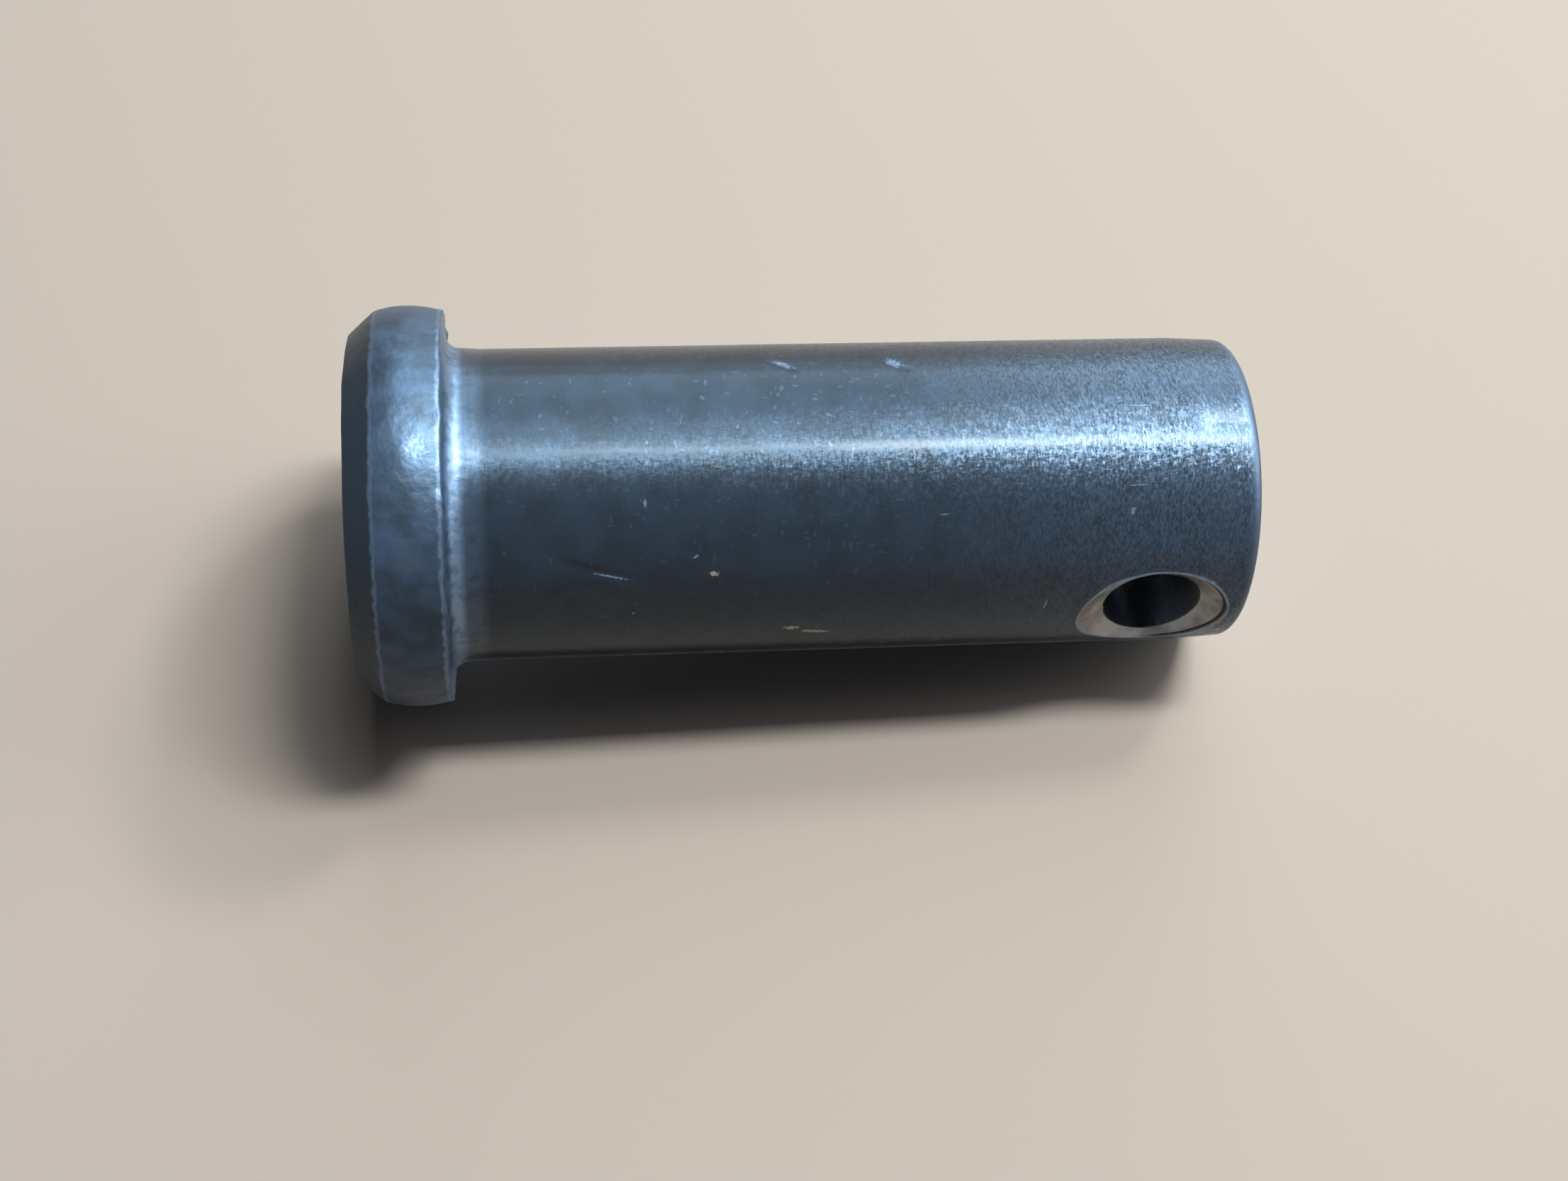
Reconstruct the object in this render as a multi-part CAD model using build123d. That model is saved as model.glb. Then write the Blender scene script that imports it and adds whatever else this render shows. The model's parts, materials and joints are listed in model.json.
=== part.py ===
from build123d import *
import math
import os

# A plain clevis pin. It stands on its head: the axis is +Z and the head's end face lies on z = 0.
# All lengths are in millimetres and angles in degrees.

# Shank: the round part that carries the load, from under the head to the point.
shank_diameter = 12.54
length_under_head = 31.95

# Head: a flat disc with a chamfered end edge and a slightly crowned rim.
head_height = 3.72
head_overhang = 1.56  # how far the rim's corners stand out from the shank
head_chamfer_width = 0.93
head_chamfer_height = 1.05
rim_crown = 0.2
bearing_edge_radius = 0.16
under_head_fillet = 0.7

# Point: a slight lead-in taper that ends in a rounded edge.
point_length = 2.3
point_drop = 0.1
tip_edge_radius = 0.45

# Cross hole for a cotter: square to the shank, countersunk where it comes out on both sides.
hole_diameter = 3.98
countersink_diameter = 6.34
countersink_angle = 120
hole_end_land = 0.67  # metal left between the countersink and the end of the shank

cut_overrun = 1.0

shank_radius = shank_diameter / 2
rim_radius = shank_radius + head_overhang
end_face_radius = rim_radius - head_chamfer_width
tip_radius = shank_radius - point_drop
total_length = head_height + length_under_head

hole_radius = hole_diameter / 2
countersink_radius = countersink_diameter / 2
countersink_slope = math.tan(math.radians(countersink_angle / 2))
countersink_depth = (countersink_radius - hole_radius) / countersink_slope
hole_height = total_length - hole_end_land - countersink_radius

# Corners of the half section, as (radius, height).
end_face_corner = (end_face_radius, 0)
rim_end_corner = (rim_radius, head_chamfer_height)
rim_crown_top = (rim_radius + rim_crown, (head_chamfer_height + head_height) / 2)
rim_bearing_corner = (rim_radius, head_height)
under_head_corner = (shank_radius, head_height)
point_start = (shank_radius, total_length - point_length)
tip_corner = (tip_radius, total_length)

corner_rounds = [
    (rim_bearing_corner, bearing_edge_radius),
    (under_head_corner, under_head_fillet),
    (tip_corner, tip_edge_radius),
]

# Half section of the drill and its two countersinks, as (distance along the hole, radius).
drill_reach = shank_radius + cut_overrun
drill_reach_radius = countersink_radius + cut_overrun * countersink_slope
drill_straight = shank_radius - countersink_depth
drill_outline = [
    (-drill_reach, 0),
    (-drill_reach, drill_reach_radius),
    (-drill_straight, hole_radius),
    (drill_straight, hole_radius),
    (drill_reach, drill_reach_radius),
    (drill_reach, 0),
]

hole_plane = Plane(origin=(0, 0, hole_height), x_dir=(1, 0, 0), z_dir=(0, -1, 0))
hole_axis = Axis((0, 0, hole_height), (1, 0, 0))

with BuildPart() as clevis_pin:
    # The turned form: the section is drawn once, its corners are rounded, and it goes round the axis.
    with BuildSketch(Plane.XZ) as pin_section:
        with BuildLine():
            Polyline((0, total_length), (0, 0), end_face_corner, rim_end_corner)
            ThreePointArc(rim_end_corner, rim_crown_top, rim_bearing_corner)
            Polyline(rim_bearing_corner, under_head_corner, point_start, tip_corner, (0, total_length))
        make_face()
        for corner, radius in corner_rounds:
            fillet(pin_section.vertices().sort_by_distance(corner)[0], radius)
    revolve(axis=Axis.Z)

    # The drilled cross hole.
    with BuildSketch(hole_plane):
        with BuildLine():
            Polyline(drill_outline, close=True)
        make_face()
    revolve(axis=hole_axis, mode=Mode.SUBTRACT)

os.makedirs("parts", exist_ok=True)
export_step(clevis_pin.part, "parts/clevis_pin.step")
print("clevis_pin", round(clevis_pin.part.volume, 1), "mm3, hole at", round(hole_height, 2), "mm")
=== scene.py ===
import bpy
import json
import math
import numpy as np
from mathutils import Matrix, Vector


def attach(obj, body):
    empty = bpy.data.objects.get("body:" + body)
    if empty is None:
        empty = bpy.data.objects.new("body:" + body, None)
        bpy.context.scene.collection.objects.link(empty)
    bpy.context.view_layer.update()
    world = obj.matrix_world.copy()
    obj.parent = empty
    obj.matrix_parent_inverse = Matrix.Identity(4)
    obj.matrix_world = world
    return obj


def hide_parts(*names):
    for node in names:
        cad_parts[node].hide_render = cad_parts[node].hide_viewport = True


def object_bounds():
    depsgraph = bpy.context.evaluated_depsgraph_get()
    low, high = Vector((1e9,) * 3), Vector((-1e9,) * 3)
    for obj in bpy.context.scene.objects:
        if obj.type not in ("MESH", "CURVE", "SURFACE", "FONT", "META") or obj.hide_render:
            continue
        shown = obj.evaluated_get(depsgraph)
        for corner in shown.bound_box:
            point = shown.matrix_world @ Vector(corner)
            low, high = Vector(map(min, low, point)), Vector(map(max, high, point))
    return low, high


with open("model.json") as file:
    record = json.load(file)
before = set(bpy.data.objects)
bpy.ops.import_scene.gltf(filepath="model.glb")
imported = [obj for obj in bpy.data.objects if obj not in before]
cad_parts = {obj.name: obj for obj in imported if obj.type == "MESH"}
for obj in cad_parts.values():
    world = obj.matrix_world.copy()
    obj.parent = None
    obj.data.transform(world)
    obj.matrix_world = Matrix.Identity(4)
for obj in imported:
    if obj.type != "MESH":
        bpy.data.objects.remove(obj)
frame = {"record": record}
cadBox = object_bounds()

mm = 0.001  # Blender works in metres, the values below are in millimetres
mounts = {mount["name"]: mount for mount in frame["record"]["mounts"]}
shankRadius = mounts["shank"]["dims"]["r_mm"]
headHeight = mounts["bearing_face"]["pos_m"][2] / mm
holeHeight = mounts["cotter_hole"]["pos_m"][2] / mm
holeRadius = mounts["cotter_hole"]["dims"]["r_mm"]
headRadius = cadBox[1].x / mm
pinLength = cadBox[1].z / mm
print("frame loaded: pin", round(pinLength, 2), "mm long, head radius", round(headRadius, 2))

pinShape = {
    "chamferWidth": 0.93,
    "chamferHeight": 1.05,
    "rimCrown": 0.2,
    "underHeadFillet": 0.7,
    "filletBand": 0.75,  # the strip beside the fillet that the grinding left a little proud
    "bandRise": 0.045,
    "pointLength": 2.3,
    "pointDrop": 0.1,
    "tipEdge": 0.45,
    "countersinkRadius": 3.17,
    "countersinkAngle": 120,
    "softness": 0.05,  # how far every turned corner is rounded
    "columns": 256,
    "rowStep": 0.17,
    "faceStep": 0.7,  # on the two flat ends
    "faceBand": 0.02,  # how near an end counts as flat
    "cornerStep": 0.05,
    "cornerReach": 0.2,
    "cornerBend": 1.2,  # radians per millimetre that take the full corner step
    "windowBelow": 3.65,  # the part of the shank that is re-gridded round a hole mouth
    "windowAbove": 3.27,
    "windowColumns": 22,
    # rings round a hole mouth: shares of the way from the block's border to the rim,
    # and then from the rim to the bore
    "patchShares": (0.12, 0.24, 0.36, 0.48, 0.6, 0.71, 0.81, 0.89, 0.95, 0.985, 1),
    "sinkShares": (0.03, 0.08, 0.12, 0.16, 0.2, 0.25, 0.32, 0.42, 0.54, 0.66, 0.78, 0.9, 0.97, 1),
    "boreStart": (0.99, 0.96),  # the first rings inside the bore, as shares of its half length
    "boreRings": 17,
    "lipRings": (-3, -2, -1, 0),  # counted from the rim, as the next ones are
    "grooveRings": ((1, 0.4), (2, 0.9), (3, 1), (4, 0.5)),
    "grooveFade": (1.1, 1.9),  # radians from the point's side
}


def polar(radius, angle, height):
    # point at a radius, angle and height about the pin's axis
    return np.stack([radius * np.cos(angle), radius * np.sin(angle), height + 0 * angle], -1)


def smoothBand(value, low, high):
    # 0 below low, 1 above high, an S curve between
    t = np.clip((value - low) / (high - low), 0, 1)
    return t * t * (3 - 2 * t)


def ripple(points, wavelength, seed, waves=28):
    # sum of plane waves in random directions, about one wavelength long, scaled to a spread of one
    rng = np.random.default_rng(seed)
    heading = rng.normal(size=(waves, 3))
    heading /= np.linalg.norm(heading, axis=1)[:, None]
    pitch = 2 * np.pi / (wavelength * rng.uniform(0.7, 1.5, waves))
    phase = rng.uniform(0, 2 * np.pi, waves)
    return np.sin(points @ (heading * pitch[:, None]).T + phase).sum(1) / math.sqrt(waves / 2)


def pinProfile(shape):
    # half section as radius and height along its own length: straight runs, the crowned rim as a parabola
    # and two quarter arcs, joined end to end, then averaged along the line so that each corner is soft
    fine, crownPoints, arcPoints = 0.01, 300, 90
    rim = headRadius - shape["rimCrown"]
    tip = shankRadius - shape["pointDrop"]
    fillet, tipEdge = shape["underHeadFillet"], shape["tipEdge"]
    proud = shankRadius + shape["bandRise"]
    u = np.linspace(-1, 1, crownPoints)
    crown = np.stack([rim + shape["rimCrown"] * (1 - u * u),
                      shape["chamferHeight"] + (headHeight - shape["chamferHeight"]) * (u + 1) / 2], 1)
    turn = np.linspace(0, np.pi / 2, arcPoints)
    under = np.stack([proud + fillet * (1 - np.sin(turn)), headHeight + fillet * (1 - np.cos(turn))], 1)
    end = np.stack([tip - tipEdge * (1 - np.cos(turn)), pinLength - tipEdge * (1 - np.sin(turn))], 1)
    line = np.concatenate([[[0, 0], [rim - shape["chamferWidth"], 0]], crown, under,
                           [[shankRadius, headHeight + fillet + shape["filletBand"]],
                            [shankRadius, pinLength - shape["pointLength"]]], end, [[0, pinLength]]])
    along = np.concatenate([[0], np.cumsum(np.hypot(*np.diff(line, axis=0).T))])
    even = np.linspace(0, along[-1], int(along[-1] / fine))
    line = np.stack([np.interp(even, along, line[:, k]) for k in (0, 1)], 1)
    reach = int(4 * shape["softness"] / fine)
    kernel = np.exp(-0.5 * (np.arange(-reach, reach + 1) * fine / shape["softness"]) ** 2)
    padded = np.pad(line, ((reach, reach), (0, 0)), mode="reflect", reflect_type="odd")
    line = np.stack([np.convolve(padded[:, k], kernel / kernel.sum(), "valid") for k in (0, 1)], 1)
    line[0], line[-1] = (0, 0), (0, pinLength)
    return even, line


def profileRows(shape, even, line):
    # rows of the grid: a steady step along the section, finer where the section bends
    heading = np.unwrap(np.arctan2(*np.gradient(line, axis=0).T))
    bend = np.abs(np.gradient(heading, even))
    band = shape["faceBand"]
    flat = (line[:, 1] < band) | (line[:, 1] > pinLength - band)
    density = np.where(flat, 1 / shape["faceStep"], 1 / shape["rowStep"])
    spread = int(shape["cornerReach"] / (even[1] - even[0]))
    average = np.ones(2 * spread + 1) / (2 * spread + 1)
    near = np.convolve(np.pad(bend, spread, mode="edge"), average, "valid")
    density = density + np.clip(near / shape["cornerBend"], 0, 1) * (1 / shape["cornerStep"])
    count = np.concatenate([[0], np.cumsum((density[1:] + density[:-1]) / 2 * np.diff(even))])
    at = np.interp(np.linspace(0, count[-1], int(count[-1]) + 1), count, even)
    return np.stack([np.interp(at, even, line[:, k]) for k in (0, 1)], 1)


def buildPin(shape):
    # the turned skin is a grid of section rows by columns about the axis; round each hole mouth a block
    # of the grid is left out, and a tube of rings runs from one block's border over the countersink,
    # through the bore and out to the border of the other
    even, line = pinProfile(shape)
    rows = profileRows(shape, even, line)
    radius, height = rows[:, 0], rows[:, 1]
    columns, half = shape["columns"], shape["columns"] // 2
    step = 2 * np.pi / columns
    inner = np.arange(1, len(rows) - 1)
    angle = np.arange(columns) * step
    skin = polar(radius[inner, None], angle[None, :], height[inner, None]).reshape(-1, 3)
    points = [np.array([[0, 0, 0]]), skin, np.array([[0, 0, pinLength]])]
    topPole = 1 + len(skin)
    gridId = lambda i, j: 1 + (i - 1) * columns + j % columns

    nearHole = height > holeHeight - 2 * shape["windowBelow"]
    shank = np.where((radius > 0.9 * shankRadius) & nearHole)[0]
    low = shank[np.searchsorted(height[shank], holeHeight - shape["windowBelow"])]
    high = shank[np.searchsorted(height[shank], holeHeight + shape["windowAbove"])]
    wide, tall = shape["windowColumns"], high - low
    loopRow = np.concatenate([np.full(2 * wide, high), np.arange(high, low, -1),
                              np.full(2 * wide, low), np.arange(low, high)])
    loopColumn = np.concatenate([np.arange(-wide, wide), np.full(tall, wide),
                                 np.arange(wide, -wide, -1), np.full(tall, -wide)])
    loopAngle, loopHeight = loopColumn * step, height[loopRow]

    # the countersink's rim: where its cone comes out through the skin, found by halving along each spoke
    slope = math.tan(math.radians(shape["countersinkAngle"] / 2))
    spoke = np.arctan2(radius[loopRow] * np.sin(loopAngle), loopHeight - holeHeight)
    cone = lambda rho: shankRadius - (shape["countersinkRadius"] - rho) / slope
    shankLine = line[(line[:, 1] > headHeight + 1) & (line[:, 0] > 0.5 * shankRadius)]
    skinRadius = lambda z: np.interp(z, shankLine[:, 1], shankLine[:, 0])
    inside = np.full_like(spoke, holeRadius)
    outside = np.full_like(spoke, 1.1 * shape["countersinkRadius"])
    halvings = 40
    for _ in range(halvings):
        rho = (inside + outside) / 2
        limit = skinRadius(holeHeight + rho * np.cos(spoke))
        out = cone(rho) ** 2 + (rho * np.sin(spoke)) ** 2 > limit ** 2
        inside, outside = np.where(out, inside, rho), np.where(out, rho, outside)
    rimRho = rho
    rimAngle = np.arctan2(rimRho * np.sin(spoke), cone(rimRho))
    rimHeight = holeHeight + rimRho * np.cos(spoke)

    patch = np.array(shape["patchShares"])[:, None]
    patchHeight = loopHeight + (rimHeight - loopHeight) * patch
    patchRings = polar(skinRadius(patchHeight), loopAngle + (rimAngle - loopAngle) * patch, patchHeight)
    sink = np.array(shape["sinkShares"])[:, None]
    sinkRho = rimRho + (holeRadius - rimRho) * sink
    sinkRings = np.stack([cone(sinkRho), sinkRho * np.sin(spoke), holeHeight + sinkRho * np.cos(spoke)], -1)
    boreEnd = cone(holeRadius)
    first, second = shape["boreStart"]
    bore = boreEnd * np.concatenate([[first], np.linspace(second, 0, shape["boreRings"])])[:, None]
    boreRings = np.stack([bore + 0 * spoke, holeRadius * np.sin(spoke) + 0 * bore,
                          holeHeight + holeRadius * np.cos(spoke) + 0 * bore], -1)
    nearSide = np.concatenate([patchRings, sinkRings, boreRings])
    farSide = nearSide[-2::-1] * np.array([-1, 1, 1])
    tube = np.concatenate([nearSide, farSide])
    points.append(tube.reshape(-1, 3))
    loopSize = len(spoke)
    tubeId = (topPole + 1 + np.arange(len(tube) * loopSize)).reshape(len(tube), loopSize)
    nearBorder, farBorder = gridId(loopRow, loopColumn), gridId(loopRow, half - loopColumn)
    tubeId = np.concatenate([nearBorder[None], tubeId, farBorder[None]])

    gridRow, gridColumn = np.meshgrid(inner[:-1], np.arange(columns), indexing="ij")
    offset = np.minimum(np.abs((gridColumn + 0.5 + half) % columns - half), np.abs(gridColumn + 0.5 - half))
    keep = ~((gridRow >= low) & (gridRow < high) & (offset < wide))
    i, j = gridRow[keep], gridColumn[keep]
    quads = [np.stack([gridId(i, j), gridId(i, j + 1), gridId(i + 1, j + 1), gridId(i + 1, j)], 1)]
    a, b = tubeId[:-1], tubeId[1:]
    quads.append(np.stack([a, b, np.roll(b, -1, 1), np.roll(a, -1, 1)], -1).reshape(-1, 4))
    quads = np.concatenate(quads)
    j = np.arange(columns)
    fans = np.concatenate([np.stack([0 * j, gridId(inner[0], j + 1), gridId(inner[0], j)], 1),
                           np.stack([topPole + 0 * j, gridId(inner[-1], j), gridId(inner[-1], j + 1)], 1)])

    rimRing, sinkEnd = len(patch), len(patch) + len(sink)
    ringDrilled = np.zeros(len(tube))
    ringDrilled[rimRing:len(tube) - rimRing] = 1
    ringBore = np.zeros(len(tube))
    ringBore[sinkEnd:len(tube) - sinkEnd] = 1
    ringLip = np.zeros(len(tube))
    for ring in shape["lipRings"]:
        ringLip[[rimRing + ring, -rimRing - ring - 1]] = 1
    ringGroove = np.zeros(len(tube))
    for ring, share in shape["grooveRings"]:
        ringGroove[[rimRing + ring, -rimRing - ring - 1]] = share
    skinZero = np.zeros(topPole + 1)
    rings = {"drilled": ringDrilled, "bore": ringBore, "lip": ringLip, "groove": ringGroove}
    layers = {name: np.concatenate([skinZero, np.repeat(ring, loopSize)]) for name, ring in rings.items()}
    angleToPoint = np.arctan2(np.abs(points[-1][:, 1]), points[-1][:, 2] - holeHeight)
    layers["groove"][topPole + 1:] *= 1 - smoothBand(angleToPoint, *shape["grooveFade"])

    points = np.concatenate(points)
    used = np.zeros(len(points), bool)  # the blocks that were left out hold points of no face
    used[quads], used[fans] = True, True
    order = np.cumsum(used) - 1
    points, quads, fans = points[used], order[quads], order[fans]
    layers = {name: values[used] for name, values in layers.items()}

    mesh = bpy.data.meshes.new("clevisPin")
    mesh.from_pydata(points * mm, [], quads.tolist() + fans.tolist())
    mesh.update()
    piece = bpy.data.objects.new("clevisPin", mesh)
    bpy.context.scene.collection.objects.link(piece)
    mesh.polygons.foreach_set("use_smooth", np.ones(len(mesh.polygons), bool))
    for name, values in layers.items():
        mesh.attributes.new(name, "FLOAT", "POINT").data.foreach_set("value", values.astype(np.float32))
    print("pin surface:", len(rows), "rows,", len(mesh.polygons), "faces")
    return piece, points, layers


pin, pinPoints, pinLayers = buildPin(pinShape)
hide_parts("clevis_pin")
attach(pin, "root")

pinWear = {
    "headWave": 0.016,  # millimetres: how uneven the headed end is
    "headRipples": ((0.7, 5, 3), (0.5, 1.7, 4)),  # share, wavelength and seed
    "headBlend": (-0.1, 0.5),  # heights from the bearing face between which the head's waves fade
    "endBlend": (4, 6),  # radii between which they set in on the end face
    "shankWave": 0.0018,
    "shankRipple": (4, 5),  # wavelength and seed, as in the ripples below
    "burr": 0.035,  # the ragged bearing edge of the head
    "burrReach": 0.16,
    "burrRipple": (0.9, 6),
    "burrShares": (0.4, 0.6),  # steady and rippling, as for the lip
    "chatter": 0.005,  # ripple left by the tool beside the fillet
    "chatterReach": 0.3,
    "chatterPitch": 0.55,
    "chatterRipple": (3, 7),
    "lip": 0.03,  # metal pushed up round the countersinks
    "lipReach": 0.16,
    "lipOffset": 0.1,
    "lipRipple": (1.6, 8),
    "lipShares": (0.5, 0.5),
    "groove": 0.05,  # ring left by the countersinking tool on the side of the point
    "boreBurr": 0.035,  # torn metal at the mouth of the bore
    "boreBurrReach": 0.05,
    "boreBurrRipple": (0.6, 9),
    "boreBurrFrom": (5.3, 5.5),  # distances along the bore between which it sets in
    "boreBurrSide": (0.6, 1.3),  # most of it is on one side, in bore radii
    "boreBurrElsewhere": 0.2,
    "drilledShare": 0.3,  # how much of the skin's wear goes on into the countersinks
    "pushedUp": (1.6, 0.6, 0.35),  # beside a dent: place and spread in half widths, share of its depth
    # dents and gouges: heights and angles of the two ends, half width, depth
    "dents": [
        ((8.18, -32.6), (9.39, -29.1), 0.2, 0.05),
        ((9.39, -29.1), (10.69, -26.5), 0.17, 0.05),
        ((16.46, -115.4), (17.47, -107.8), 0.16, 0.03),
        ((21.0, -115.0), (21.87, -107.0), 0.2, 0.03),
        ((13.06, -37.5), (13.3, -34.0), 0.2, 0.025),
        ((10.84, -46.0), (10.9, -43.5), 0.16, 0.02),
        ((3.5, -59.6), (3.62, -58.2), 0.16, 0.03),
    ],
}


def wearPin(piece, points, layers, wear):
    # each point moves along its normal by long waves on the head, finer ones along the bearing edge, a
    # tool ripple beside the fillet, a raised lip round the countersinks, and a bell-shaped dip for
    # every dent
    mesh = piece.data
    normals = np.zeros(len(points) * 3, np.float32)
    mesh.vertex_normals.foreach_get("vector", normals)
    normals = normals.reshape(-1, 3)
    radius, height = np.hypot(points[:, 0], points[:, 1]), points[:, 2]
    angle = np.arctan2(points[:, 1], points[:, 0])
    drilled = layers["drilled"]
    skin = 1 - drilled
    onHead = 1 - smoothBand(height, *(headHeight + blend for blend in wear["headBlend"]))
    offEnd = smoothBand(radius, *wear["endBlend"])
    waves = sum(share * ripple(points, length, seed) for share, length, seed in wear["headRipples"])
    move = wear["headWave"] * onHead * offEnd * waves
    move += wear["shankWave"] * (1 - onHead) * ripple(points, *wear["shankRipple"])
    rim = headRadius - pinShape["rimCrown"]
    corner = np.exp(-((radius - rim) ** 2 + (height - headHeight) ** 2) / wear["burrReach"] ** 2)
    steady, rippling = wear["burrShares"]
    move += wear["burr"] * corner * (steady + rippling * ripple(points, *wear["burrRipple"]))
    fillet = np.exp(-((height - headHeight - pinShape["underHeadFillet"]) / wear["chatterReach"]) ** 2)
    turns = angle * 2 * np.pi * shankRadius / wear["chatterPitch"]
    move += wear["chatter"] * fillet * np.sin(turns + 2 * ripple(points, *wear["chatterRipple"]))
    mouth = np.hypot(points[:, 1], height - holeHeight)
    past = mouth - pinShape["countersinkRadius"] - wear["lipOffset"]
    lip = np.exp(-(past / wear["lipReach"]) ** 2)
    steady, rippling = wear["lipShares"]
    move += wear["lip"] * lip * (steady + rippling * ripple(points, *wear["lipRipple"]))
    outer = radius > 0.9 * shankRadius
    place = np.stack([height, angle * shankRadius], 1)
    upAt, upSpread, upShare = wear["pushedUp"]
    for start, end, width, depth in wear["dents"]:
        a = np.array([start[0], math.radians(start[1]) * shankRadius])
        b = np.array([end[0], math.radians(end[1]) * shankRadius])
        share = np.clip((place - a) @ (b - a) / ((b - a) @ (b - a)), 0, 1)
        away = np.linalg.norm(place - a - share[:, None] * (b - a), axis=1)
        pushedUp = np.exp(-((away - upAt * width) / (upSpread * width)) ** 2)
        move -= depth * outer * (np.exp(-(away / width) ** 2) - upShare * pushedUp)
    torn = drilled * np.exp(-((mouth - holeRadius) / wear["boreBurrReach"]) ** 2)
    torn = torn * smoothBand(np.abs(points[:, 0]), *wear["boreBurrFrom"])
    aside = (points[:, 1] - height + holeHeight) / holeRadius
    torn = torn * (wear["boreBurrElsewhere"] + smoothBand(aside, *wear["boreBurrSide"]))
    move = move * (skin + wear["drilledShare"] * drilled) - wear["groove"] * layers["groove"]
    move += wear["boreBurr"] * torn * np.clip(ripple(points, *wear["boreBurrRipple"]), 0, 2)
    moved = points + normals * move[:, None]
    mesh.vertices.foreach_set("co", (moved * mm).astype(np.float32).ravel())
    mesh.update()
    print("wear: up to", round(float(np.abs(move).max()), 3), "mm")


wearPin(pin, pinPoints, pinLayers, pinWear)


def linear(hexColour):
    # sRGB hex to linear light: the standard curve, channel by channel
    value = np.array([int(hexColour[i:i + 2], 16) for i in (1, 3, 5)]) / 255
    return (*np.where(value <= 0.04045, value / 12.92, ((value + 0.055) / 1.055) ** 2.4).tolist(), 1)


def addNode(tree, kind, links, out=0, **settings):
    # one node with its settings, each named socket given a value or another node's output
    node = tree.nodes.new("ShaderNode" + kind)
    for name, value in settings.items():
        setattr(node, name, value)
    for socket, value in links.items():
        if isinstance(value, bpy.types.NodeSocket):
            tree.links.new(value, node.inputs[socket])
        else:
            node.inputs[socket].default_value = value
    return node.outputs[out] if node.outputs else None


def direction(azimuth, elevation):
    # unit vector: azimuth turns from the front, -Y, towards +X
    a, e = math.radians(azimuth), math.radians(elevation)
    return Vector((math.sin(a) * math.cos(e), -math.cos(a) * math.cos(e), math.sin(e)))


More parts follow.
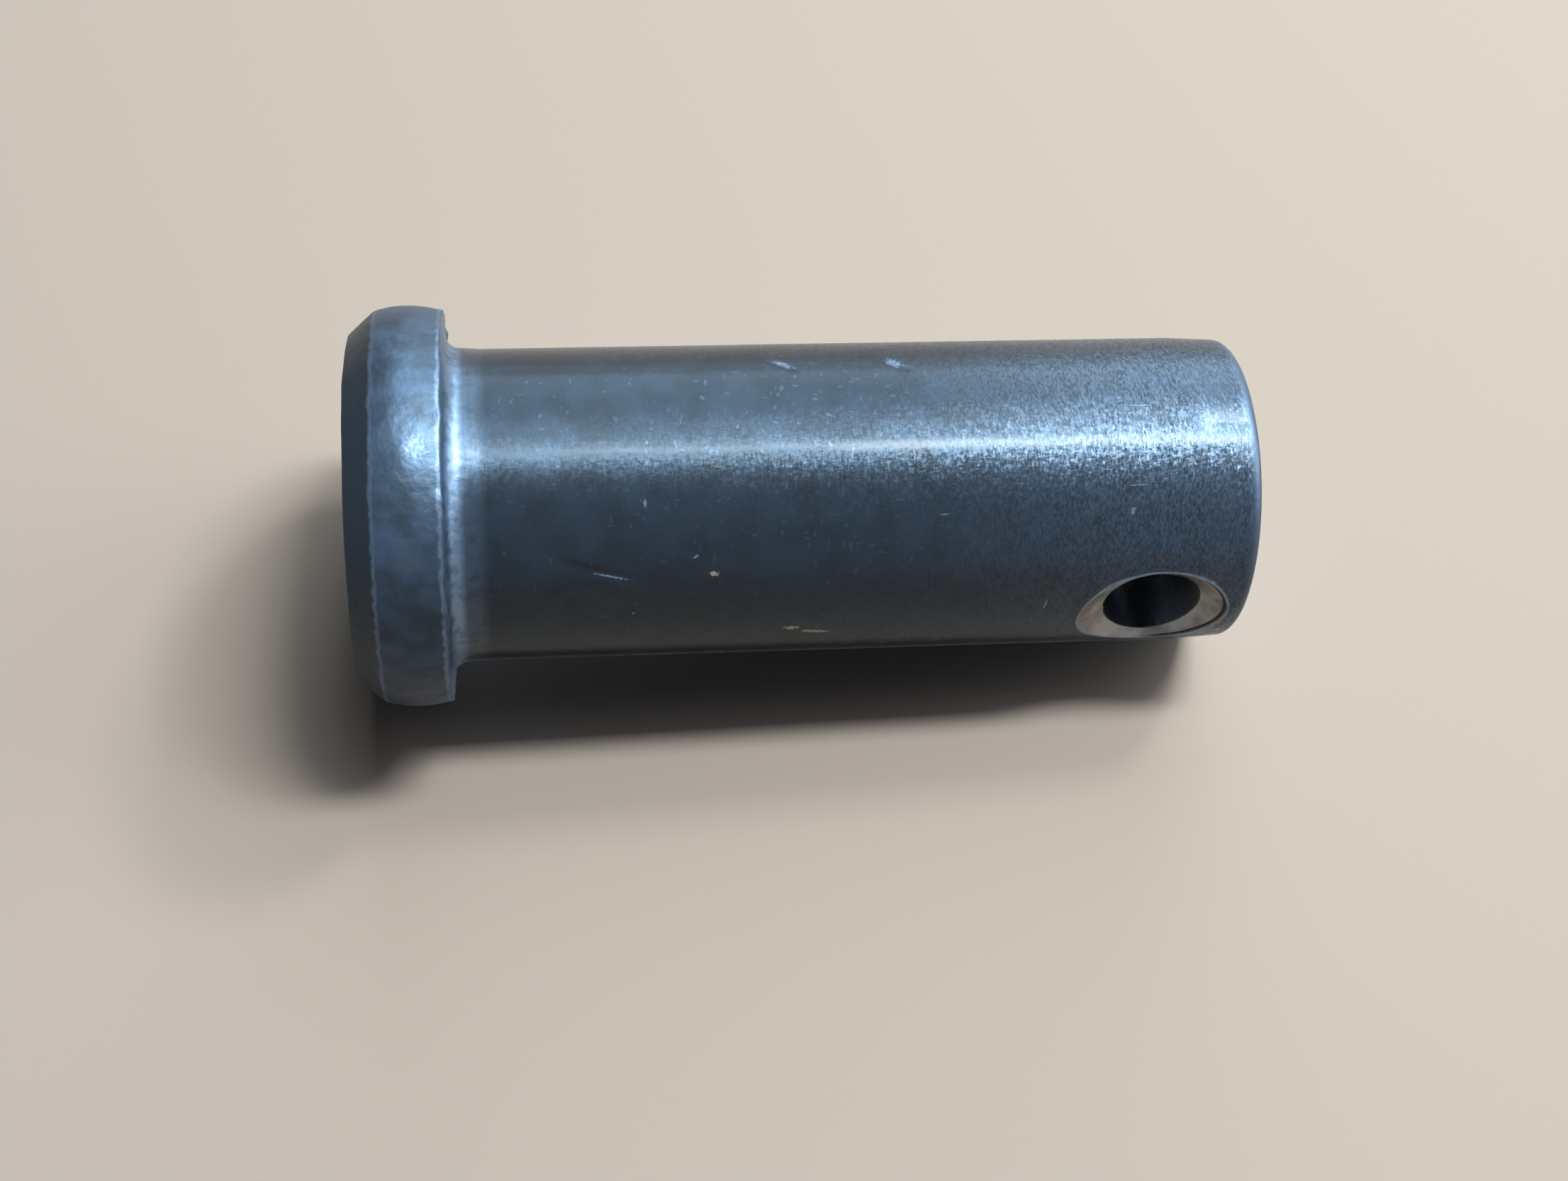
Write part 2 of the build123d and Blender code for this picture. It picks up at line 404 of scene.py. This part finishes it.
steelFinish = {
    "ground": ("#3c4650", "#414e5c"),  # the shank, cloudy between two greys
    "headed": ("#424e5b", "#516378"),  # the head, which was never ground
    # painted shade: the chamfer under the head is a darker grey than the rest of it
    "chamfer": "#3a444f",
    "paintedShade": "#2c2f31",  # painted shade on the side away from the lamps
    "paintedShadeShare": 0.5,
    "bare": "#7f95ae",  # fresh metal in nicks and on rubbed edges; also the colour of the painted highlights
    "drilled": ("#787470", "#acaaa9"),  # the countersinks, likewise between two greys
    "bore": "#5d646c",
    "grooveShade": "#1d1b1a",  # painted shade in the ring groove of the countersinks
    "deposit": "#a59e90",  # dried, pale and matt
    "rust": "#5f5140",
    "roughness": 0.46,
    "bareRoughness": 0.47,
    "drilledRoughness": 0.62,
    "film": 0.11,  # trace of oil on the ground shank: a thin clear line inside the streak
    "filmRoughness": 0.11,
    "anisotropy": 0.85,  # the ground shank smears light around it, the head doesn't
    "smearTurn": 0.25,  # of a full turn, from the direction round the axis
    # heights at which one finish gives way to another, and over which the dings and the polish grow
    "shankFrom": (4.0, 4.7),
    "pointEdge": (35.4, 35.0),
    "chamferEdge": (1.2, 0.98),
    "dingRun": (5, 32),
    "polishRun": (18.5, 34),
    "cloud": 1.3,  # millimetres, as are the other pattern sizes
    "peel": 0.4,
    "grain": 0.12,
    "noiseDetail": 3,
    "cloudEnds": (0.36, 0.64),  # values of the noise at which the two greys are reached
    "facet": (0.06, 0.16),  # width and length, coarser than the real marks, which are too fine to show
    "peelDepth": 0.03,
    "peelShare": (1.0, 0.25),  # on the head and on the ground shank
    "tilt": (0.04, 0.135),  # how far the tiny facets lean, beside the head and at the point
    "litSide": (-40, 0),  # azimuth and elevation of the lit side: painted sheen on it, painted shade away from it
    "sideReach": (-0.4, 0.9),  # where that side starts and is full, in shank radii
    "sideShare": (0.35, 1.2),  # how strong the rubbing and the painted sheen are away from it and on it
    "paintedShadeSide": (0.75, 0.35),  # values of that lit-side share at which the painted shade starts and is full
    "polish": 0.48,  # how bare the facets are at the point, where the pin was handled most; kept to the lit side, so partly a painted highlight
    "ding": (0.085, 0.2),  # width and length
    "dingBend": 0.35,  # how far noise pushes the dings out of shape
    "bendDetail": 2,
    "dings": (0.99, 0.95),  # share of the skin without a bright ding, beside the head and at the point
    "dingStrength": 0.22,
    "gouge": 7,  # depth of the long gouge against that of the peel
    "ragged": 0.25,  # how far the rubbed rings wander
    "raggedEnds": (0.3, 0.7),  # values of the noise between which it eats into the edge of a mark
    "raggedShare": 0.6,  # how much of it
    "patchyEnds": (0.35, 0.55),  # likewise, for the rubbed rings
    "patchyLeast": 0.55,  # how bare a ring is between its patches
    "rubEdge": (1.6, 0.4),  # half widths at which a rubbed ring starts and is full
    # rubbed rings: height, half width, how bare, whether only on the lit side, where the ring is partly a
    # painted highlight
    "rubbed": [
        (1.1, 0.07, 0.35, False),
        (3.62, 0.07, 0.45, False),
        (4.12, 0.32, 0.8, False),
        (4.75, 0.4, 0.25, False),
        (34.2, 1.0, 0.16, True),
        (35.45, 0.2, 0.5, True),
    ],
    # small marks: height, angle, half length, half width, turn from the axis, what shows
    "marks": [
        (16.97, -111.6, 0.8, 0.24, -36, "bare"),
        (21.43, -111.0, 0.65, 0.36, -52, "bare"),
        (9.45, -29.6, 1.7, 0.28, -13, "gouge"),
        (9.95, -27.1, 0.9, 0.07, -13, "bare"),
        (13.25, -34.0, 0.16, 0.1, 40, "bare"),
        (30.36, -46.9, 0.25, 0.15, 70, "bare"),
        (34.62, -61.3, 0.25, 0.1, 80, "bare"),
        (27.2, -9.0, 0.5, 0.04, 80, "bare"),
        (30.95, -86.3, 0.85, 0.03, 0, "bare"),
        (30.5, -56.0, 0.85, 0.03, 2, "bare"),
        (22.9, -47.2, 0.3, 0.035, 4, "bare"),
        (10.84, -10.5, 0.09, 0.09, 0, "bare"),
        (11.32, -54.0, 0.12, 0.22, 0, "bare"),
        # painted highlight on the head's rim
        (2.73, -70.4, 0.7, 0.9, 20, "worn"),
        (3.58, -58.9, 0.1, 0.2, 0, "bare"),
        # painted highlight on the rubbed point
        (33.5, -80.4, 1.0, 1.7, 10, "worn"),
        (17.08, 0.8, 0.46, 0.2, -5, "deposit"),
        (18.08, 3.7, 0.85, 0.16, -5, "deposit"),
        (13.94, -27.3, 0.28, 0.16, -10, "deposit"),
        (2.32, -39.1, 0.45, 0.5, 0, "rust"),
        (2.64, 9.8, 0.4, 0.5, 0, "rust"),
        (31.53, -58.8, 0.08, 0.06, 0, "rust"),
    ],
    "markDepth": 0.5,  # millimetres that a mark reaches into the skin
    # softness of a mark's edge, how much of it shows
    "markEdges": {
        "bare": (0.3, 1.0),
        "worn": (0.9, 0.9),
        "gouge": (0.8, 1.0),
        "deposit": (0.3, 1.0),
        "rust": (1.0, 0.55),
    },
}


def markMask(add, place, ragged, mark, depth, edge):
    # highest inside an ellipsoid about the mark's place on the skin, nothing beyond a ragged edge
    height, degrees, halfLength, halfWidth, turn = mark
    angle = math.radians(degrees)
    out = Vector((math.cos(angle), math.sin(angle), 0))
    radius = headRadius if height < headHeight else shankRadius
    along = Matrix.Rotation(math.radians(turn), 3, out) @ Vector((0, 0, 1))
    axes = Matrix((along, out.cross(along), out)).transposed()
    centre = out * radius + Vector((0, 0, height))
    near = add("Mapping", {0: place, 1: centre * mm, 2: axes.to_euler(),
                           3: Vector((halfLength, halfWidth, depth)) * mm}, vector_type="TEXTURE")
    ball = add("TexGradient", {0: near}, out=1, gradient_type="SPHERICAL")
    ball = add("Math", {0: ball, 1: ragged}, operation="SUBTRACT")
    return add("MapRange", {0: ball, 1: 0.0, 2: edge[0], 3: 0.0, 4: edge[1]})


def tumbledSteel(finish):
    # plain low carbon steel: the head as it was formed, the shank ground, all of it tumbled with others;
    # a dark cool grey whose highlight is a thin streak along the shank that breaks into sparks towards
    # the point, where countless tiny dings lean every way
    material = bpy.data.materials.new("tumbledSteel")
    material.use_nodes = True
    tree = material.node_tree
    tree.nodes.clear()
    add = lambda kind, links, **settings: addNode(tree, kind, links, **settings)
    place = add("TexCoord", {}, out=3)
    height = add("SeparateXYZ", {0: place}, out=2)
    layer = {name: add("Attribute", {}, out=2, attribute_name=name)
             for name in ("drilled", "bore", "lip", "groove")}
    noise = {name: add("TexNoise", {"Vector": place, "Scale": 1 / (finish[name] * mm),
                                    "Detail": finish["noiseDetail"]})
             for name in ("cloud", "peel", "grain")}
    heights = {name: [end * mm for end in finish[name]]
               for name in ("shankFrom", "pointEdge", "chamferEdge", "dingRun", "polishRun")}

    # one on the ground shank, nothing on the head and the edge of the point
    low, high = heights["shankFrom"]
    above = add("MapRange", {0: height, 1: low, 2: high})
    high, low = heights["pointEdge"]
    below = add("MapRange", {0: height, 1: high, 2: low})
    ground = add("Math", {0: above, 1: below}, operation="MINIMUM")
    # the chamfer, painted a darker grey: painted shade
    high, low = heights["chamferEdge"]
    chamfer = add("MapRange", {0: height, 1: high, 2: low})
    low, high = heights["dingRun"]
    along = add("MapRange", {0: height, 1: low, 2: high}, interpolation_type="SMOOTHSTEP")

    # facets and dings: two sets of cells each, drawn out along the pin and around it; each facet has
    # its own lean, and few of the dings are bright
    bend = add("TexNoise", {"Vector": place, "Scale": 1 / (finish["dingBend"] * mm),
                            "Detail": finish["bendDetail"]}, out=1)
    push = [finish["dingBend"] * mm] * 3
    bent = add("VectorMath", {0: bend, 1: push, 2: place}, operation="MULTIPLY_ADD")
    facets, dings = [], []
    for found, seen, (width, length) in ((facets, place, finish["facet"]), (dings, bent, finish["ding"])):
        for size in ((width, width, length), (length, length, width)):
            cells = add("Mapping", {0: seen, 3: [1 / (part * mm) for part in size]})
            found.append(add("TexVoronoi", {"Vector": cells, "Scale": 1}, out=1))
    lean = add("VectorMath", {0: facets[0], 1: facets[1]}, operation="ADD")
    lean = add("VectorMath", {0: lean, 1: (1, 1, 1)}, operation="SUBTRACT")
    tilt = add("MapRange", {0: along, 3: finish["tilt"][0], 4: finish["tilt"][1]})
    tilt = add("Math", {0: tilt, 1: ground}, operation="MULTIPLY")
    lean = add("VectorMath", {0: lean, 3: tilt}, operation="SCALE")
    dinged = add("VectorMath", {0: dings[0], 1: dings[1]}, operation="MAXIMUM")
    dinged = add("SeparateXYZ", {0: dinged})
    dingStart = add("MapRange", {0: along, 3: finish["dings"][0], 4: finish["dings"][1]})
    dinged = add("MapRange", {0: dinged, 1: dingStart, 2: 1.0, 3: 0.0, 4: finish["dingStrength"]})
    # the lit side, towards the softbox: dings, the polish and the sided rubbed rings are painted brighter
    # on it (painted sheen), and the side away from it is painted darker (painted shade)
    towardsLight = direction(*finish["litSide"])
    side = add("VectorMath", {0: place, 1: towardsLight}, out=1, operation="DOT_PRODUCT")
    low, high = (reach * shankRadius * mm for reach in finish["sideReach"])
    least, most = finish["sideShare"]
    side = add("MapRange", {0: side, 1: low, 2: high, 3: least, 4: most})
    # the dings are kept to the lit side: partly nicks, partly painted sparkle
    for share in (ground, side):
        dinged = add("Math", {0: dinged, 1: share}, operation="MULTIPLY")
    low, high = heights["polishRun"]
    polish = add("MapRange", {0: height, 1: low, 2: high, 3: 0.0, 4: finish["polish"]},
                 interpolation_type="SMOOTHSTEP")
    # the polish at the point is kept to the lit side: partly rubbed metal, partly painted highlight
    for share in (side, add("SeparateXYZ", {0: facets[1]}, out=2)):
        polish = add("Math", {0: polish, 1: share}, operation="MULTIPLY")

    low, high = finish["raggedEnds"]
    ragged = add("MapRange", {0: noise["grain"], 1: low, 2: high, 3: 0.0, 4: finish["raggedShare"]})
    masks = {"bare": dinged}
    for *mark, shows in finish["marks"]:
        mask = markMask(add, place, ragged, mark, finish["markDepth"], finish["markEdges"][shows])
        if shows in masks:
            mask = add("Math", {0: masks[shows], 1: mask}, operation="MAXIMUM")
        masks[shows] = mask
    wander = finish["ragged"] * mm
    wavy = add("Math", {0: noise["peel"], 1: wander, 2: height}, operation="MULTIPLY_ADD")
    low, high = finish["patchyEnds"]
    patchy = add("MapRange", {0: noise["peel"], 1: low, 2: high, 3: finish["patchyLeast"], 4: 1.0})
    # a sided ring shows only on the lit side: partly rubbed metal, partly painted highlight
    for centre, halfWidth, share, onLitSide in finish["rubbed"]:
        away = add("Math", {0: wavy, 1: (centre + 0.5 * finish["ragged"]) * mm}, operation="SUBTRACT")
        away = add("Math", {0: away}, operation="ABSOLUTE")
        far, near = (edge * halfWidth * mm for edge in finish["rubEdge"])
        rub = add("MapRange", {0: away, 1: far, 2: near, 3: 0.0, 4: share})
        rub = add("Math", {0: rub, 1: side if onLitSide else patchy}, operation="MULTIPLY")
        masks["bare"] = add("Math", {0: masks["bare"], 1: rub}, operation="MAXIMUM")
    lip = add("Math", {0: layer["lip"], 1: patchy}, operation="MULTIPLY")
    # the two marks of painted highlight join the bare metal
    for more in (lip, polish, masks["worn"]):
        masks["bare"] = add("Math", {0: masks["bare"], 1: more}, operation="MAXIMUM")

    # colours are laid over each other in this order
    low, high = finish["cloudEnds"]
    cloudy = add("MapRange", {0: noise["cloud"], 1: low, 2: high})
    shades = {name: add("Mix", {0: cloudy, 6: linear(finish[name][0]), 7: linear(finish[name][1])},
                        out=2, data_type="RGBA")
              for name in ("headed", "ground", "drilled")}
    colour = shades["headed"]
    # painted shade: the side away from the lamps is mixed towards a dark grey
    high, low = finish["paintedShadeSide"]
    shadedAway = add("MapRange", {0: side, 1: high, 2: low, 3: 0.0, 4: finish["paintedShadeShare"]})
    for share, over in ((above, shades["ground"]),
                        (chamfer, linear(finish["chamfer"])),
                        (shadedAway, linear(finish["paintedShade"])),
                        (masks["bare"], linear(finish["bare"])),
                        (masks["rust"], linear(finish["rust"])),
                        (masks["deposit"], linear(finish["deposit"])),
                        (layer["drilled"], shades["drilled"]),
                        (layer["bore"], linear(finish["bore"])),
                        # painted shade: the groove of the countersinks is mixed towards near black
                        (layer["groove"], linear(finish["grooveShade"]))):
        colour = add("Mix", {0: share, 6: colour, 7: over}, out=2, data_type="RGBA")
    metal = add("Math", {0: 1.0, 1: masks["deposit"]}, operation="SUBTRACT")
    rough = finish["roughness"]
    for share, over in ((masks["bare"], finish["bareRoughness"]),
                        (layer["drilled"], finish["drilledRoughness"])):
        rough = add("Mix", {0: share, 2: rough, 3: over})

    onHead, onShank = finish["peelShare"]
    uneven = add("MapRange", {0: ground, 3: onHead, 4: onShank})
    hollow = add("Math", {0: masks["gouge"], 1: -finish["gouge"], 2: noise["peel"]},
                 operation="MULTIPLY_ADD")
    relief = add("Bump", {"Height": hollow, "Distance": finish["peelDepth"] * mm, "Strength": uneven})
    facing = add("VectorMath", {0: relief, 1: lean}, operation="ADD")
    facing = add("VectorMath", {0: facing}, operation="NORMALIZE")
    smear = add("Math", {0: ground, 1: finish["anisotropy"]}, operation="MULTIPLY")
    film = add("Math", {0: ground, 1: finish["film"]}, operation="MULTIPLY")
    tangent = add("Tangent", {}, direction_type="RADIAL", axis="Z")
    surface = add("BsdfPrincipled", {
        "Base Color": colour, "Metallic": metal, "Roughness": rough, "Normal": facing,
        "Anisotropic": smear, "Anisotropic Rotation": finish["smearTurn"], "Tangent": tangent,
        "Coat Weight": film, "Coat Roughness": finish["filmRoughness"]})
    add("OutputMaterial", {0: surface})
    return material


pin.data.materials.append(tumbledSteel(steelFinish))
print("steel finished")

cameraSetup = {
    "place": (54.766, -76.631, 6.775),  # millimetres, in the pin's frame
    "aim": (3.189, 2.089, 17.245),
    "rollDegrees": -1.599,  # from the pin's axis lying straight across the picture
    "lens": 52.97,
    "sensor": 36,
    "clip": (0.002, 5),  # metres
}


def placeCamera(setup):
    # the picture's width follows the pin's axis, turned by the roll; the view runs from place to aim
    place, aim = Vector(setup["place"]) * mm, Vector(setup["aim"]) * mm
    back = (place - aim).normalized()
    across = (Vector((0, 0, 1)) - back * back.z).normalized()
    across = Matrix.Rotation(math.radians(setup["rollDegrees"]), 3, back) @ across
    up = back.cross(across)
    data = bpy.data.cameras.new("photoCamera")
    data.lens, data.sensor_width, data.sensor_fit = setup["lens"], setup["sensor"], "HORIZONTAL"
    data.clip_start, data.clip_end = setup["clip"]
    camera = bpy.data.objects.new("photoCamera", data)
    camera.matrix_world = Matrix.Translation(place) @ Matrix((across, up, back)).transposed().to_4x4()
    bpy.context.scene.collection.objects.link(camera)
    bpy.context.scene.camera = camera


placeCamera(cameraSetup)
print("camera placed")

studio = {
    "floorColour": "#b2a196",
    "floorAzimuth": 6.5,  # degrees: the way that the floor faces, about the pin's axis
    "floorSize": 0.8,  # metres
    "rimTouch": 2.4,  # millimetres: height of the head's widest ring, which rests on the floor
    "tipTouch": 35.5,
    "gap": 0.04,  # room for the head's unevenness
    "roomColour": "#c9d2dc",
    "roomShade": 0.04,  # share of the room's light that falls on matt surfaces
}

# lamps: azimuth and elevation, distance, width and height in metres, power in watts, colour
lamps = {
    "key": (-1.5, 18.5, 0.35, 0.045, 0.13, 1.05, "#f1fdff"),
    "line": (-1.5, 8, 0.35, 0.022, 0.1, 0.2, "#f1fdff"),
    "glint": (-20, 27, 0.35, 0.05, 0.05, 0.38, "#f1fdff"),
    "right": (-10, 80, 0.5, 0.2, 0.2, 0.35, "#e9f8ff"),
    "top": (-6, 50, 0.5, 0.25, 0.45, 1.1, "#e9f8ff"),
    "softbox": (-45, 10, 0.5, 0.5, 0.3, 1.6, "#e6f8ff"),
    "side": (-85, 10, 0.5, 0.4, 0.3, 0.3, "#e6f8ff"),
    "back": (-128, 12, 0.5, 0.7, 0.4, 3.6, "#dcf2ff"),
}


def buildStudio(values):
    # the pin lies on the floor: the plane that touches the head's rim and the edge of the point
    out = direction(values["floorAzimuth"], 0)
    drop = headRadius - (shankRadius - pinShape["pointDrop"])
    reach = values["tipTouch"] - values["rimTouch"]
    normal = (out * reach - Vector((0, 0, drop))).normalized()
    touch = (Vector((0, 0, values["rimTouch"])) - out * (headRadius + values["gap"])) * mm
    side = normal.cross(Vector((0, 0, 1))).normalized()
    rise = normal.cross(side)
    half = values["floorSize"] / 2
    corners = [touch + side * half * a + rise * half * b for a, b in ((-1, -1), (1, -1), (1, 1), (-1, 1))]
    mesh = bpy.data.meshes.new("floor")
    mesh.from_pydata(corners, [], [(0, 1, 2, 3)])
    mesh.update()
    if mesh.polygons[0].normal.dot(normal) < 0:
        mesh.flip_normals()
    floor = bpy.data.objects.new("floor", mesh)
    bpy.context.scene.collection.objects.link(floor)
    material = bpy.data.materials.new("paleFloor")  # matt paper; seen from behind it isn't there
    material.use_nodes = True
    tree = material.node_tree
    tree.nodes.clear()
    paper = addNode(tree, "BsdfDiffuse", {0: linear(values["floorColour"])})
    behind = addNode(tree, "NewGeometry", {}, out=6)
    mixed = addNode(tree, "MixShader", {0: behind, 1: paper, 2: addNode(tree, "BsdfTransparent", {})})
    addNode(tree, "OutputMaterial", {0: mixed})
    mesh.materials.append(material)
    floor.visible_shadow = False  # the lamp behind it lights the back of the pin

    world = bpy.data.worlds.new("studio")
    bpy.context.scene.world = world
    world.use_nodes = True
    tree = world.node_tree
    tree.nodes.clear()
    seen = addNode(tree, "LightPath", {})  # the camera, metal and glass see the whole room
    path = seen.node.outputs
    direct = path["Is Camera Ray"]
    for kind in ("Is Glossy Ray", "Is Transmission Ray"):
        direct = addNode(tree, "Math", {0: direct, 1: path[kind]}, operation="MAXIMUM")
    strength = addNode(tree, "MapRange", {0: direct, 3: values["roomShade"], 4: 1.0})
    room = addNode(tree, "Background", {0: linear(values["roomColour"]), 1: strength})
    addNode(tree, "OutputWorld", {0: room})


def addLamps(table):
    # soft rectangles, each facing the middle of the pin from its own side
    middle = Vector((0, 0, pinLength / 2)) * mm
    for name, (azimuth, elevation, distance, width, height, power, colour) in table.items():
        lamp = bpy.data.lights.new(name, "AREA")
        lamp.shape, lamp.size, lamp.size_y, lamp.energy = "RECTANGLE", width, height, power
        lamp.color = linear(colour)[:3]
        lampObject = bpy.data.objects.new(name, lamp)
        towards = direction(azimuth, elevation)
        lampObject.location = middle + towards * distance
        lampObject.rotation_euler = towards.to_track_quat("Z", "Y").to_euler()
        lampObject.visible_camera = False
        bpy.context.scene.collection.objects.link(lampObject)


buildStudio(studio)
addLamps(lamps)
bpy.context.scene.view_settings.view_transform = "Standard"
print("studio set")
